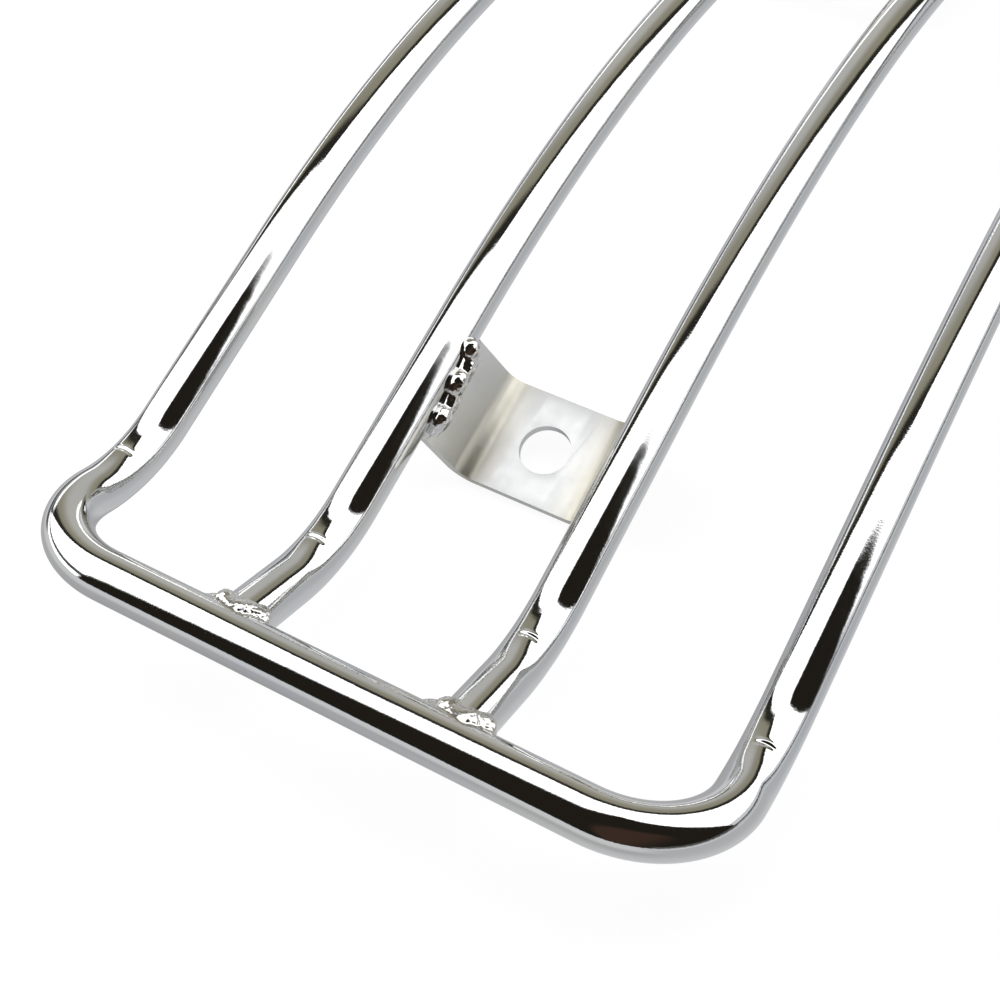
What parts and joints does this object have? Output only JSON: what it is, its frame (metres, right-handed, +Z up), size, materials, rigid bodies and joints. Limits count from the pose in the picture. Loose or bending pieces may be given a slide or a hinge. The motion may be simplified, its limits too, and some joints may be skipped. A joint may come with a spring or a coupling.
{
  "type": "motorcycle luggage rack",
  "caption": "Chromed tube luggage rack for a rear mudguard: a kinked and arched outer loop, inner rails and folded bolt-on brackets welded below them.",
  "frame": {"origin": "middle of the rack in plan, on the surface that it lies on", "axes": "+X to the right across the rack seen from the near, kinked end, +Y along the rack to its far end, +Z up"},
  "size_m": [0.1882, 0.4154, 0.0573],
  "materials": {
    "tube_chrome": "bright chrome plate on bent steel tube",
    "bracket_chrome": "chrome plate on plain sheet steel, slightly satin",
    "weld_chrome": "chrome plate over lumpy weld beads"
  },
  "bodies": {
    "root": {"outer_loop": "tube_chrome", "inner_rail_left": "tube_chrome", "inner_rail_right": "tube_chrome", "near_tab": "bracket_chrome", "far_tab": "bracket_chrome", "joint_weld_near_left": "weld_chrome", "joint_weld_near_right": "weld_chrome", "joint_weld_far_left": "weld_chrome", "joint_weld_far_right": "weld_chrome", "tab_weld_near_left": "weld_chrome", "tab_weld_near_right": "weld_chrome", "tab_weld_far_left": "weld_chrome", "tab_weld_far_right": "weld_chrome", "loop_seam_weld": "tube_chrome"}
  },
  "joints": []
}
